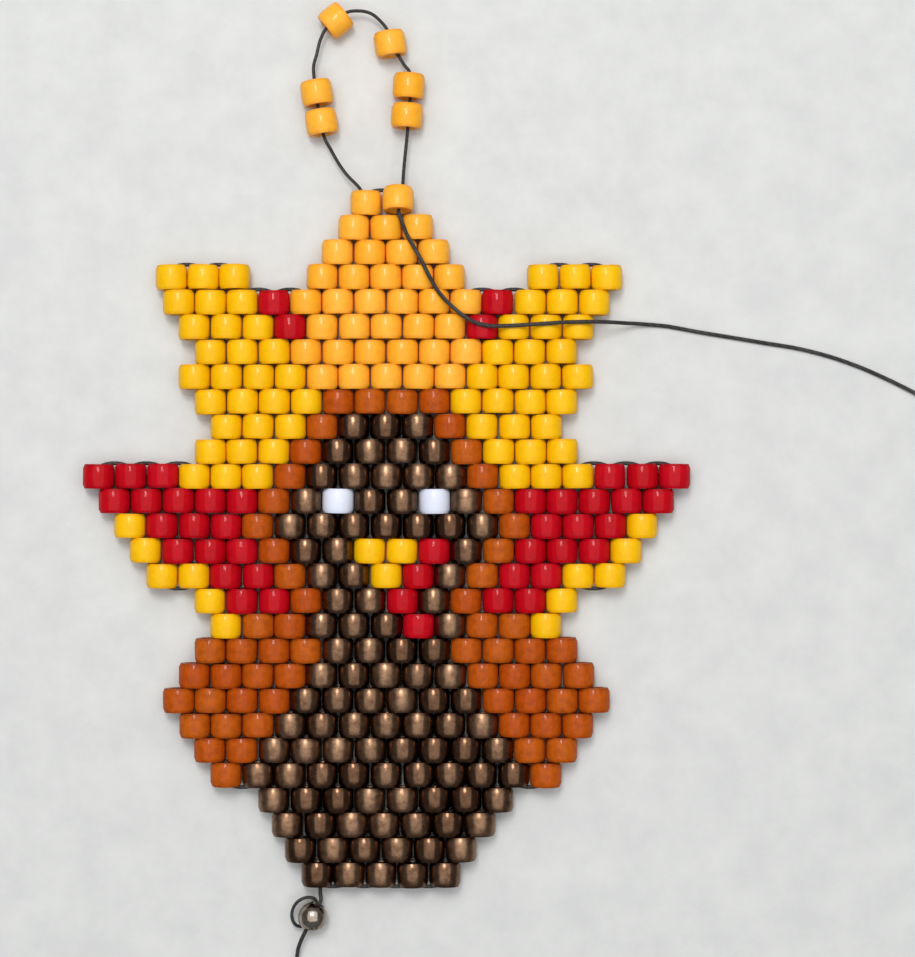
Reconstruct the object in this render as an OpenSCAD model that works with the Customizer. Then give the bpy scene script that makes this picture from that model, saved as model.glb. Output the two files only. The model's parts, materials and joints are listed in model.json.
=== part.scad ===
// Flat brick-stitched turkey charm of cylinder beads, lying face up with its thread ends.
// +X is the charm's right-hand edge as seen from above, +Y points to its crest, +Z is up.
// The origin is at the middle of its footprint, on the surface that it lies on.

/* [Beads] */
// Outer diameter of a cylinder bead
bead_d = 1.6; // [1.3:0.05:2]
// Length of a cylinder bead along its hole
bead_l = 1.24; // [1:0.02:1.6]
// Diameter of the hole through a cylinder bead
bead_hole = 0.8; // [0.65:0.05:1]
// Chamfer on both rims of a cylinder bead
bead_chamfer = 0.12; // [0.04:0.02:0.16]

/* [Stitching] */
// Free space between neighbouring beads of one row
side_gap = 0.1; // [0.04:0.02:0.3]
// Free space between two rows, which holds the thread bridges
row_gap = 0.08; // [0.08:0.02:0.3]
// Diameter of the beading thread
thread_d = 0.22; // [0.16:0.02:0.26]
// Thickness of a thread bridge where it is pressed flat between two rows
bridge_d = 0.06; // [0.03:0.01:0.07]

/* [Raised bead] */
// Tilt of the raised bead at the top, which the working thread leaves
raised_tilt = 12; // [6:1:14]
// Height of the raised bead's middle over its neighbour's
raised_lift = 0.36; // [0.3:0.02:0.5]
// Distance that the raised bead stands beyond the top row
raised_slip = 0.14; // [0.12:0.02:0.3]

/* [Hanging loop] */
// Distance from the top row to the line where the loop folds
fold_gap = 0.45; // [0.4:0.05:0.8]
// Length of the straight stretch of thread in the loop's right leg
right_leg_l = 5.9; // [5.6:0.1:8]
// Space between the two beads of a pair on the loop
pair_gap = 0.34; // [0.3:0.02:0.5]

/* [Stopper] */
// Diameter of the round stopper bead on the tail
stopper_d = 1.6; // [1.4:0.05:1.7]
// Diameter of the hole through the stopper bead
stopper_hole = 0.7; // [0.5:0.05:0.8]

/* [Thread coils] */
// Diameter of a coil at the middle of its turns
coil_d = 2.8; // [2.3:0.1:3.4]
// Thickness of the working thread's coil
working_coil_t = 1.5; // [1.2:0.1:1.8]
// Thickness of the tail's coil
tail_coil_t = 1.1; // [0.9:0.1:1.4]
// Thickness of the band that ties a coil
tie_t = 0.15; // [0.1:0.05:0.25]
// Width of the band that ties a coil
tie_w = 0.5; // [0.3:0.1:0.7]

/* [Hidden] */
$fn = 64;

// Bead chart, one line for each row from the crest down. Each letter is one bead: m mango, y yellow,
// r red, o rust orange, b dark bronze, w white, t the raised mango bead. A point is an empty place.
CHART = [
    "mt",
    "mmm",
    "mmmm",
    "yyy..mmmmm..yyy",
    "yyyrmmmmmmryyy",
    "yyyrmmmmmryyy",
    "yyymmmmmmyyy",
    "yyyymmmmmyyyy",
    "yyyyooooyyyy",
    "yyyobbboyyy",
    "yyyobbbboyyy",
    "rrryyyobbbbboyyyrrr",
    "rrrrrobwbbwborrrrr",
    "yrrrobbbbbbborrry",
    "yrrrobbyyrborrry",
    "yyrrobbyrborryy",
    "yrrobbrborry",
    "yoobbbrbooy",
    "oooobbbboooo",
    "oooobbbbboooo",
    "oooobbbbbboooo",
    "ooobbbbbbbooo",
    "oobbbbbbbboo",
    "obbbbbbbbbo",
    "bbbbbbbb",
    "bbbbbbb",
    "bbbbbb",
    "bbbbb"
];
last_row = len(CHART) - 1;
LEFT = -1;
RIGHT = 1;
BOTH = 0;
// Beads nearer to the middle than this many places belong to the beak and the wattle
inner_places = 3;

pitch_x = bead_d + side_gap;
pitch_y = bead_l + row_gap;
bead_z = bead_d / 2;
thread_r = thread_d / 2;

// Loop: places along its legs and over its top, from the fold line
left_leg_dir = [-0.16, 0.987];
left_leg_start = [-3.31, 2.5];
left_leg_l = 3.4;
left_bead_at = 0.74;
right_leg_top = [1.25, right_leg_l];
// Free thread between the right leg's upper bead and the leg's top
leg_spare = 0.14;
arch_rise = right_leg_l - 5.9;
top_left_bead = [-2.68, 8.64 + arch_rise];
top_left_dir = [0.78, 0.626];
top_right_bead = [0.22, 7.4 + arch_rise];
top_right_dir = [-0.16, 0.987];
top_stretch = 0.62;
loop_top = top_left_bead.y + 0.94;

// The footprint runs from the foot row to the top of the loop, and the origin is at its middle
fold_beyond_foot = last_row * pitch_y + bead_l / 2 + fold_gap;
foot_y = -(fold_beyond_foot + loop_top - bead_l / 2) / 2;
fold_y = foot_y + fold_beyond_foot;
fold_z = bead_z + 0.1;
knuckle_gap = 0.03;

// Free thread ends, measured from the middle of the foot row. Their points are chosen by hand.
WORKING_ROUTE = [
    [0.65, 35.15, 1.3],
    [0.75, 34.9, 1.35],
    [0.92, 34.4, 1.4],
    [1.12, 33.9, 1.52],
    [1.4, 33.4, 1.62],
    [1.85, 32.6, 1.68],
    [2.25, 31.8, 1.74],
    [2.7, 31, 1.74],
    [3.1, 30.5, 1.74],
    [3.55, 30.05, 1.74],
    [4.1, 29.6, 1.74],
    [4.7, 29.25, 1.74],
    [5.4, 29.07, 1.74],
    [6.4, 29.06, 1.74],
    [8, 29.15, 1.74],
    [9.6, 29.25, 1.74],
    [10.6, 29.27, 1.73],
    [11.3, 29.28, 1.58],
    [12, 29.28, 1.2],
    [12.7, 29.27, 0.75],
    [13.4, 29.26, 0.38],
    [14.1, 29.22, 0.18],
    [15, 29.14, 0.12],
    [16.6, 28.85, 0.12],
    [18.4, 28.55, 0.12],
    [20.2, 28.25, 0.12],
    [22, 27.95, 0.12],
    [23.6, 27.55, 0.12],
    [25.2, 27, 0.12],
    [26.8, 26.3, 0.14],
    [28.2, 25.6, 0.2],
    [29.4, 24.96, 0.4],
    [30.2, 24.54, 0.65],
    [30.8, 24.2, 0.85]
];
TAIL_ROUTE = [
    [-3.5, -0.62, 0.8],
    [-3.5, -0.9, 0.8],
    [-3.49, -1.15, 0.8],
    [-3.46, -1.4, 0.8],
    [-3.9, -2.3, 0.8],
    [-4.46, -3.44, 0.8],
    [-4.6, -3.78, 0.74],
    [-4.7, -4.1, 0.6],
    [-4.76, -4.5, 0.42],
    [-4.8, -4.95, 0.28],
    [-4.83, -5.4, 0.3],
    [-4.85, -5.85, 0.42],
    [-4.85, -6.2, 0.55],
    [-4.85, -6.6, 0.66]
];
// Middle of each coil of the thread that is put away
WORKING_COIL = [31.5, 22.4];
TAIL_COIL = [-3.45, -7.8];
// Stopper bead: its middle on the tail, and the way that the tail runs through it
STOPPER = [-3.9, -2.3];
STOPPER_DIR = [-0.44, -0.9];
wrap_turn = 140;
wrap_gap = 0.02;
tie_fit = 0.03;

// ---- places ----

function row_y(row) = foot_y + (last_row - row) * pitch_y;

// Sideways shift of the top row, of the last rows, and of the two feather tips that lean inwards
function row_shift(row, place) =
    row == 0 ? -0.2 :
    row == last_row - 2 ? -0.12 :
    row > last_row - 2 ? -0.27 :
    row == 3 && place < -inner_places ? 0.45 :
    row == 3 && place > inner_places ? -0.15 : 0;

// Places from the middle of the row to bead i, then its distance from the middle
function place_of(row, i) = i - (len(CHART[row]) - 1) / 2;
function bead_x(row, i) = place_of(row, i) * pitch_x + row_shift(row, place_of(row, i));

function on_side(place, side) = side == BOTH || (side == LEFT ? place <= 0 : place > 0);

function unit(v) = v / norm(v);
function turn_of(v) = -atan2(v.x, v.y);

// ---- shapes ----

// Cylinder bead round the Y axis
module cylinder_bead() {
    bore_chamfer = bead_chamfer / 2;
    outer_r = bead_d / 2;
    hole_r = bead_hole / 2;
    half_l = bead_l / 2;
    rotate([-90, 0, 0])
        rotate_extrude()
            polygon([
                [hole_r + bore_chamfer, -half_l],
                [outer_r - bead_chamfer, -half_l],
                [outer_r, -half_l + bead_chamfer],
                [outer_r, half_l - bead_chamfer],
                [outer_r - bead_chamfer, half_l],
                [hole_r + bore_chamfer, half_l],
                [hole_r, half_l - bore_chamfer],
                [hole_r, -half_l + bore_chamfer]
            ]);
}

// All beads of one letter in some rows, on one side, between two distances from the middle in places
module chart_beads(letter, first, last, side = BOTH, from = 0, to = 99) {
    for (row = [first : last])
        for (i = [0 : len(CHART[row]) - 1])
            if (CHART[row][i] == letter
                && on_side(place_of(row, i), side)
                && abs(place_of(row, i)) >= from
                && abs(place_of(row, i)) <= to)
                translate([bead_x(row, i), row_y(row), bead_z])
                    cylinder_bead();
}

// Thread that follows points, as an eight-sided tube
thread_sides = 8;
function tangent(path, i) =
    unit(path[min(i + 1, len(path) - 1)] - path[max(i - 1, 0)]);
function ring(p, along, r) =
    let (side = unit(cross(along, [0, 0, 1])))
    let (up = cross(side, along))
    [for (k = [0 : thread_sides - 1])
        p + r * (cos(k * 360 / thread_sides) * side + sin(k * 360 / thread_sides) * up)];

module thread_along(path, r = thread_r) {
    rings = len(path);
    n = thread_sides;
    points = [for (i = [0 : rings - 1]) each ring(path[i], tangent(path, i), r)];
    walls = [
        for (i = [0 : rings - 2])
            for (k = [0 : n - 1])
                let (a = i * n + k)
                let (b = i * n + (k + 1) % n)
                each [[a, b, b + n], [a, b + n, a + n]]
    ];
    near_cap = [for (k = [n - 1 : -1 : 0]) k];
    far_cap = [for (k = [0 : n - 1]) (rings - 1) * n + k];
    polyhedron(points = points, faces = concat(walls, [near_cap, far_cap]));
}

// Round coil of put-away thread that lies on its ties
function coil_z(t) = t / 2 + tie_fit + tie_t;

module coil_at(middle, t) {
    translate([middle.x, foot_y + middle.y, coil_z(t)])
        rotate_extrude()
            translate([coil_d / 2, 0])
                circle(d = t);
}

module tie_at(middle, t, turn) {
    translate([middle.x, foot_y + middle.y, coil_z(t)])
        rotate([0, 0, turn])
            translate([coil_d / 2, 0, 0])
                rotate([90, 0, 0])
                    difference() {
                        cylinder(d = t + 2 * (tie_fit + tie_t), h = tie_w, center = true);
                        cylinder(d = t + 2 * tie_fit, h = 2 * tie_w, center = true);
                    }
}

// ---- crest ----

module raised_bead() {
    color("#f9b23e")
        translate([bead_x(0, 1), row_y(0) + raised_slip, bead_z + raised_lift])
            rotate([-raised_tilt, 0, 0])
                cylinder_bead();
}
module crest_tip() { color("#f9b23e") chart_beads("m", 0, 2); }
module crest_middle() { color("#f9b23e") chart_beads("m", 3, 5); }
module crest_base() { color("#f9b23e") chart_beads("m", 6, 7); }

// ---- feathers ----

module feather_tip(side) { color("#f5ba0a") chart_beads("y", 3, 4, side); }
module feather(side) { color("#f5ba0a") chart_beads("y", 5, 8, side); }
module feather_base(side) { color("#f5ba0a") chart_beads("y", 9, 11, side); }
module feather_edge(side) { color("#f5ba0a") chart_beads("y", 13, 17, side, from = inner_places); }
module notch(side) { color("#be0f20") chart_beads("r", 4, 5, side); }
module red_feather_upper(side) { color("#be0f20") chart_beads("r", 11, 12, side); }
module red_feather_lower(side) {
    color("#be0f20") chart_beads("r", 13, 16, side, from = inner_places);
}

// ---- head ----

module head_arch() { color("#c65a12") chart_beads("o", 8, 8); }
module head_border(side) { color("#c65a12") chart_beads("o", 9, 16, side); }
module head() { color("#38221a") chart_beads("b", 9, 12); }
module cheek(side) { color("#38221a") chart_beads("b", 13, 17, side); }
module eye(side) { color("#e6e9f5") chart_beads("w", 12, 12, side); }
module beak() { color("#f5ba0a") chart_beads("y", 14, 15, to = inner_places); }
module wattle() { color("#be0f20") chart_beads("r", 14, 17, to = inner_places); }

// ---- body and wings ----

module wing_upper(side) { color("#c65a12") chart_beads("o", 17, 19, side); }
module wing_lower(side) { color("#c65a12") chart_beads("o", 20, 23, side); }
module body_upper() { color("#38221a") chart_beads("b", 18, 20); }
module body_middle() { color("#38221a") chart_beads("b", 21, 23); }
module body_lower() { color("#38221a") chart_beads("b", 24, 25); }
module body_foot() { color("#38221a") chart_beads("b", 26, 27); }

// ---- stitching thread inside the beads ----

function is_laid(row, i) =
    i >= 0 && i < len(CHART[row]) && CHART[row][i] != "." && CHART[row][i] != "t";

// The first row that was stitched. The rows above it have their bridges over them, and the rows below
// it have their bridges under them.
first_stitched_row = 11;

function bridge_sides(row) =
    row < first_stitched_row ? [1] :
    row > first_stitched_row ? [-1] : [1, -1];

// Bridges of one row, and a leg through the hole of each of its beads
module row_stitches(row) {
    count = len(CHART[row]);
    to_bridge = (bead_l + row_gap) / 2;
    starts = [for (i = [0 : count - 1]) if (is_laid(row, i) && !is_laid(row, i - 1)) i];
    ends = [for (i = [0 : count - 1]) if (is_laid(row, i) && !is_laid(row, i + 1)) i];
    leg_from = min(bridge_sides(row)) < 0 ? -to_bridge : -bead_l / 2;
    leg_to = max(bridge_sides(row)) > 0 ? to_bridge : bead_l / 2;
    for (run = [0 : len(starts) - 1]) {
        from_x = bead_x(row, starts[run]);
        run_l = bead_x(row, ends[run]) - from_x;
        union() {
            if (run_l > 0)
                for (side = bridge_sides(row))
                    translate([from_x, row_y(row) + side * to_bridge, bead_z])
                        rotate([0, 90, 0])
                            cylinder(d = bridge_d, h = run_l);
            for (i = [starts[run] : ends[run]])
                translate([bead_x(row, i), row_y(row) + leg_from, bead_z])
                    rotate([-90, 0, 0])
                        cylinder(d = thread_d, h = leg_to - leg_from);
        }
    }
}

module thread_piece(from, to) {
    way = to - from;
    translate(from)
        rotate([0, atan2(norm([way.x, way.y]), way.z), atan2(way.y, way.x)])
            cylinder(d = thread_d, h = norm(way));
}

// Ends of the loop's thread, from inside the two top beads to the fold line
module left_root() {
    thread_piece([bead_x(0, 0), row_y(0), bead_z], [left_root_x, root_stop_y, fold_z]);
}
module right_root() {
    raised_at = [bead_x(0, 1), row_y(0) + raised_slip, bead_z + raised_lift];
    raised_axis = [0, cos(raised_tilt), -sin(raised_tilt)];
    reach = (root_stop_y - raised_at.y) / raised_axis.y;
    stop = raised_at + reach * raised_axis + [root_lean, 0, 0];
    thread_piece(raised_at - bead_l / 2 * raised_axis, stop);
}

module crest_stitching() {
    color("#3c3c3c") {
        union() {
            row_stitches(0);
            left_root();
        }
        for (row = [1 : 9]) row_stitches(row);
        right_root();
    }
}
module wing_stitching() { color("#3c3c3c") for (row = [10 : 17]) row_stitches(row); }
module body_stitching() { color("#3c3c3c") for (row = [18 : last_row]) row_stitches(row); }

// ---- hanging loop ----

function on_loop(p, z = bead_z) = [p.x, fold_y + p.y, z];
left_leg_end = left_leg_start + left_leg_l * left_leg_dir;
// Sideways lean of the loop's thread where it leaves the hole of a top bead
hole_slack = 0.03;
root_lean = bead_hole / 2 - 1.1 * thread_r - hole_slack;
root_stop_y = fold_y - 1.6 * thread_r - knuckle_gap;
left_root_x = bead_x(0, 0) - root_lean * (root_stop_y - row_y(0)) / (bead_l / 2);
right_leg_foot = [bead_x(0, 1) + root_lean, 0];
right_leg_dir = unit(right_leg_top - right_leg_foot);

LOOP_ROUTE = [
    on_loop([left_root_x, 0], fold_z),
    on_loop([left_root_x - 0.35, 0.22], fold_z),
    on_loop([left_root_x - 0.7, 0.58]),
    on_loop([left_root_x - 1.12, 1.14]),
    on_loop([left_root_x - 1.53, 1.84]),
    on_loop(left_leg_start),
    on_loop(left_leg_end),
    on_loop([-3.84, 6.3 + arch_rise]),
    on_loop([-3.7, 6.8 + arch_rise]),
    on_loop([-3.5, 7.6 + arch_rise]),
    on_loop(top_left_bead - top_stretch * top_left_dir),
    on_loop(top_left_bead + top_stretch * top_left_dir),
    on_loop([-1.92, 9.13 + arch_rise]),
    on_loop([-1.6, 9.16 + arch_rise]),
    on_loop([-1.1, 9.12 + arch_rise]),
    on_loop([-0.7, 8.96 + arch_rise]),
    on_loop([-0.3, 8.62 + arch_rise]),
    on_loop([0, 8.26 + arch_rise]),
    on_loop(top_right_bead + top_stretch * top_right_dir),
    on_loop(top_right_bead),
    on_loop([0.66, 6.78 + arch_rise]),
    on_loop([1, 6.24 + arch_rise]),
    on_loop(right_leg_top),
    on_loop(right_leg_foot + 0.5 * right_leg_dir, fold_z),
    on_loop(right_leg_foot, fold_z)
];

module loop_thread() {
    color("#3c3c3c") {
        thread_along(LOOP_ROUTE);
    }
}

module loop_bead(at, dir) {
    color("#f9b23e")
        translate(on_loop(at))
            rotate([0, 0, turn_of(dir)])
                cylinder_bead();
}

pair_pitch = bead_l + pair_gap;
module loop_bead_left_lower() {
    loop_bead(left_leg_start + left_bead_at * left_leg_dir, left_leg_dir);
}
module loop_bead_left_upper() {
    loop_bead(left_leg_start + (left_bead_at + pair_pitch) * left_leg_dir, left_leg_dir);
}
module loop_bead_top_left() { loop_bead(top_left_bead, top_left_dir); }
module loop_bead_top_right() { loop_bead(top_right_bead, top_right_dir); }
right_upper_at = norm(right_leg_top - right_leg_foot) - leg_spare - bead_l / 2;
module loop_bead_right_upper() {
    loop_bead(right_leg_foot + right_upper_at * right_leg_dir, right_leg_dir);
}
module loop_bead_right_lower() {
    loop_bead(right_leg_foot + (right_upper_at - pair_pitch) * right_leg_dir, right_leg_dir);
}

// ---- stopper ----

stopper_at = [STOPPER.x, foot_y + STOPPER.y, bead_z];

module stopper_bead() {
    color("#8f8c88")
        translate(stopper_at)
            rotate([0, 0, turn_of(STOPPER_DIR)])
                rotate([-90, 0, 0])
                    rotate_extrude()
                        difference() {
                            circle(d = stopper_d);
                            translate([-stopper_d, -stopper_d])
                                square([stopper_d + stopper_hole / 2, 2 * stopper_d]);
                        }
}

// Turn of the tail round the outside of the stopper bead
module stopper_wrap() {
    wrap_r = stopper_d / 2 + wrap_gap + thread_r;
    color("#3c3c3c")
        translate(stopper_at)
            rotate([0, 0, turn_of(STOPPER_DIR) - wrap_turn / 2])
                rotate_extrude(angle = wrap_turn)
                    translate([wrap_r, 0])
                        circle(r = thread_r);
}

// ---- free thread ends ----

function on_bench(route) = [for (p = route) [p.x, foot_y + p.y, p.z]];

module working_thread() { color("#3c3c3c") thread_along(on_bench(WORKING_ROUTE)); }
module working_coil() { color("#3c3c3c") coil_at(WORKING_COIL, working_coil_t); }
module working_coil_tie() {
    color("#d8d2c4") for (turn = [0, 180]) tie_at(WORKING_COIL, working_coil_t, turn);
}
module tail_thread() { color("#3c3c3c") thread_along(on_bench(TAIL_ROUTE)); }
module tail_coil() { color("#3c3c3c") coil_at(TAIL_COIL, tail_coil_t); }
module tail_coil_tie() {
    color("#d8d2c4") for (turn = [0, 90]) tie_at(TAIL_COIL, tail_coil_t, turn);
}

raised_bead();
crest_tip();
crest_middle();
crest_base();
feather_tip(LEFT);  // left_feather_tip
feather_tip(RIGHT);  // right_feather_tip
feather(LEFT);  // left_feather
feather(RIGHT);  // right_feather
feather_base(LEFT);  // left_feather_base
feather_base(RIGHT);  // right_feather_base
notch(LEFT);  // left_notch
notch(RIGHT);  // right_notch
red_feather_upper(LEFT);  // left_red_feather_upper
red_feather_upper(RIGHT);  // right_red_feather_upper
red_feather_lower(LEFT);  // left_red_feather_lower
red_feather_lower(RIGHT);  // right_red_feather_lower
feather_edge(LEFT);  // left_feather_edge
feather_edge(RIGHT);  // right_feather_edge
head_arch();
head_border(LEFT);  // left_head_border
head_border(RIGHT);  // right_head_border
wing_upper(LEFT);  // left_wing_upper
wing_upper(RIGHT);  // right_wing_upper
wing_lower(LEFT);  // left_wing_lower
wing_lower(RIGHT);  // right_wing_lower
head();
cheek(LEFT);  // left_cheek
cheek(RIGHT);  // right_cheek
eye(LEFT);  // left_eye
eye(RIGHT);  // right_eye
beak();
wattle();
body_upper();
body_middle();
body_lower();
body_foot();
crest_stitching();
wing_stitching();
body_stitching();
loop_thread();
loop_bead_left_lower();
loop_bead_left_upper();
loop_bead_top_left();
loop_bead_top_right();
loop_bead_right_upper();
loop_bead_right_lower();
stopper_bead();
stopper_wrap();
working_thread();
working_coil();
working_coil_tie();
tail_thread();
tail_coil();
tail_coil_tie();
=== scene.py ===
"""Beaded turkey charm: a flat brick-stitched turkey of cylinder beads, still on its thread.

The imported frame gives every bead, thread end and joint. This script lays the finished pieces
over it: glazed glass beads, beading thread, the loose loop, the stopper bead and the stage."""

import json
import math

import bmesh
import bpy
from mathutils import Matrix, Vector

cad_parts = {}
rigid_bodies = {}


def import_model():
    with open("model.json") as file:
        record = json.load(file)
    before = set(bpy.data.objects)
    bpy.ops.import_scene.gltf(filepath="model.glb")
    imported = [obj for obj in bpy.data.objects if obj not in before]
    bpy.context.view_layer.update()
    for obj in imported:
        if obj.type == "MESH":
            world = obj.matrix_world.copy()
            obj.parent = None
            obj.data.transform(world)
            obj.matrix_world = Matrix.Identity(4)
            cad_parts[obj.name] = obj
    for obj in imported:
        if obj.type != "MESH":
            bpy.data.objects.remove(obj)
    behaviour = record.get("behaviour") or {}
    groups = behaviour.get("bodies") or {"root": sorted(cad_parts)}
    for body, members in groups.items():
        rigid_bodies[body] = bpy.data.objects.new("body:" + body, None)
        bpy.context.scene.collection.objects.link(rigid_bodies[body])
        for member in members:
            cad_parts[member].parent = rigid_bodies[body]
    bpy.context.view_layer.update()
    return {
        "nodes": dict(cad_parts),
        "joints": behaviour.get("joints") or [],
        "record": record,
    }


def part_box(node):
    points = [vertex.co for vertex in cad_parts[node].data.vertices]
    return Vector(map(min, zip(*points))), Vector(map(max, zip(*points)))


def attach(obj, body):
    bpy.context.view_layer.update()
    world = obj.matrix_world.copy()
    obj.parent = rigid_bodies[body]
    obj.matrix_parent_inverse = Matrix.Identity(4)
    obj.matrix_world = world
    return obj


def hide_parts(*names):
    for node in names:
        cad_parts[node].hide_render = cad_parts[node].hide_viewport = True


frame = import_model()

bl_info = {
    "name": "Beaded Turkey Charm",
    "version": (1, 0, 0),
    "blender": (4, 5, 0),
    "location": "View3D > Sidebar > Charm",
    "description": "Builds a brick-stitched turkey charm of cylinder beads round its packed frame",
    "category": "Add Mesh",
}

MM = 0.001


# ---------------------------------------------------------------- sizes read from the frame

def box_corners(node):
    """Lowest and highest corner of a CAD node's box."""
    low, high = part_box(node)
    return Vector(low), Vector(high)


def box_size(node):
    """Width, depth and height of a CAD node."""
    low, high = box_corners(node)
    return high - low


def joint_called(name):
    """A joint of the frame."""
    return next(joint for joint in frame["joints"] if joint["name"] == name)


BEAD_LENGTH = box_size("left_eye").y
BEAD_DIAMETER = box_size("left_eye").x
FOOT_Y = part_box("body_foot")[0][1] + BEAD_LENGTH / 2
FOLD_Y = joint_called("loop_fold")["pos_m"][1]
BEAD_Z = BEAD_DIAMETER / 2
ROW_PITCH = box_size("body_foot").y - BEAD_LENGTH
BEAD_PITCH = (box_size("body_foot").x - BEAD_DIAMETER) / 5  # the wider of its two rows has six beads


# ---------------------------------------------------------------- routes of the threads

# The working thread, from the raised bead over the panel and the bench to its coil.
# Metres, with y from the middle of the foot row.
WORKING_ROUTE = [
    (0.00065, 0.03515, 0.0013),
    (0.00075, 0.0349, 0.00135),
    (0.00092, 0.0344, 0.0014),
    (0.00112, 0.0339, 0.00152),
    (0.0014, 0.0334, 0.00162),
    (0.00185, 0.0326, 0.00168),
    (0.00225, 0.0318, 0.00174),
    (0.0027, 0.031, 0.00174),
    (0.0031, 0.0305, 0.00174),
    (0.00355, 0.03005, 0.00174),
    (0.0041, 0.0296, 0.00174),
    (0.0047, 0.02925, 0.00174),
    (0.0054, 0.02907, 0.00174),
    (0.0064, 0.02906, 0.00174),
    (0.008, 0.02915, 0.00174),
    (0.0096, 0.02925, 0.00174),
    (0.0106, 0.02927, 0.00173),
    (0.0113, 0.02928, 0.00158),
    (0.012, 0.02928, 0.0012),
    (0.0127, 0.02927, 0.00075),
    (0.0134, 0.02926, 0.00038),
    (0.0141, 0.02922, 0.00018),
    (0.015, 0.02914, 0.00012),
    (0.0166, 0.02885, 0.00012),
    (0.0184, 0.02855, 0.00012),
    (0.0202, 0.02825, 0.00012),
    (0.022, 0.02795, 0.00012),
    (0.0236, 0.02755, 0.00012),
    (0.0252, 0.027, 0.00012),
    (0.0268, 0.0263, 0.00014),
    (0.0282, 0.0256, 0.0002),
    (0.0294, 0.02496, 0.0004),
    (0.0302, 0.02454, 0.00065),
    (0.0308, 0.0242, 0.00085),
]
# The tail, from the foot row's left bead through the stopper bead to its coil.
# Metres, with y from the middle of the foot row.
TAIL_ROUTE = [
    (-0.0035, -0.00062, 0.0008),
    (-0.0035, -0.0009, 0.0008),
    (-0.00349, -0.00115, 0.0008),
    (-0.00346, -0.0014, 0.0008),
    (-0.0039, -0.0023, 0.0008),
    (-0.00446, -0.00344, 0.0008),
    (-0.0046, -0.00378, 0.00074),
    (-0.0047, -0.0041, 0.0006),
    (-0.00476, -0.0045, 0.00042),
    (-0.0048, -0.00495, 0.00028),
    (-0.00483, -0.0054, 0.0003),
    (-0.00485, -0.00585, 0.00042),
    (-0.00485, -0.0062, 0.00055),
    (-0.00485, -0.0066, 0.00066),
]
WORKING_LENGTH = 0.3
TAIL_LENGTH = 0.12
# The hanging loop's thread, from the left top bead's hole round to the right one's.
# Metres, with y from the fold line.
LOOP_ROUTE = [
    (-0.00166, 0.0, 0.0009),
    (-0.00194, 0.00027, 0.0009),
    (-0.00226, 0.00066, 0.00084),
    (-0.0026, 0.00118, 0.0008),
    (-0.00298, 0.00186, 0.0008),
    (-0.00331, 0.0025, 0.0008),
    (-0.00385, 0.005856, 0.0008),
    (-0.00384, 0.0063, 0.0008),
    (-0.0037, 0.0068, 0.0008),
    (-0.0035, 0.0076, 0.0008),
    (-0.003164, 0.008252, 0.0008),
    (-0.002196, 0.009028, 0.0008),
    (-0.00192, 0.00913, 0.0008),
    (-0.0016, 0.00916, 0.0008),
    (-0.0011, 0.00912, 0.0008),
    (-0.0007, 0.00896, 0.0008),
    (-0.0003, 0.00862, 0.0008),
    (0.0, 0.00826, 0.0008),
    (0.000121, 0.008012, 0.0008),
    (0.00022, 0.0074, 0.0008),
    (0.00066, 0.00678, 0.0008),
    (0.001, 0.00624, 0.0008),
    (0.00125, 0.0059, 0.0008),
    (0.00093, 0.0005, 0.0009),
    (0.0009, 0.0, 0.0009),
]
# The loop's two ends on the panel: from inside the two top beads to the fold line.
# Metres, with y from the fold line.
LEFT_ROOT = [
    (-0.00105, -0.0016, 0.0008),
    (-0.00108, -0.0011, 0.0008),
    (-0.0012, -0.0007, 0.0008),
    (-0.00139, -0.0003, 0.00085),
    (-0.00166, 0.0, 0.0009),
]
RIGHT_ROOT = [
    (0.00068, -0.0015, 0.00125),
    (0.0007, -0.0011, 0.00118),
    (0.00078, -0.0006, 0.00107),
    (0.00086, -0.0002, 0.00094),
    (0.0009, 0.0, 0.0009),
]

ROUTE_SPACING = 0.00015
COIL_STEPS = 24  # points on each turn of a coil
COIL_BULGE = 0.13  # how far a coil's corners stand out, as a share of its radius
COIL_CORNER = math.radians(22.5)  # heading of a coil's first corner
COIL_SPACING = 1.03  # distance between two turns of a coil, in thread diameters
CROSSING = 0.6  # share of a turn after which it crosses to the next place
TAUT = 0.84  # thickness of the thread where it is drawn taut, as a share of its slack thickness

# ---------------------------------------------------------------- settings a user may change

def length_setting(label, text, value, least=0.0, precision=5):
    """A length that a user may change."""
    return bpy.props.FloatProperty(name=label, description=text, default=value, min=least,
                                   subtype="DISTANCE", unit="LENGTH", precision=precision)


def angle_setting(label, text, degrees):
    """An angle that a user may change."""
    return bpy.props.FloatProperty(name=label, description=text, default=math.radians(degrees), min=0.0,
                                   subtype="ANGLE", unit="ROTATION")


def power_setting(label, text, watts):
    """The power of a light, which a user may change."""
    return bpy.props.FloatProperty(name=label, description=text, default=watts, min=0.0, unit="POWER")


def colour_setting(label, text, colour):
    """A colour that a user may change."""
    return bpy.props.FloatVectorProperty(name=label, description=text, default=colour, size=4,
                                         min=0.0, max=1.0, subtype="COLOR")


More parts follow.
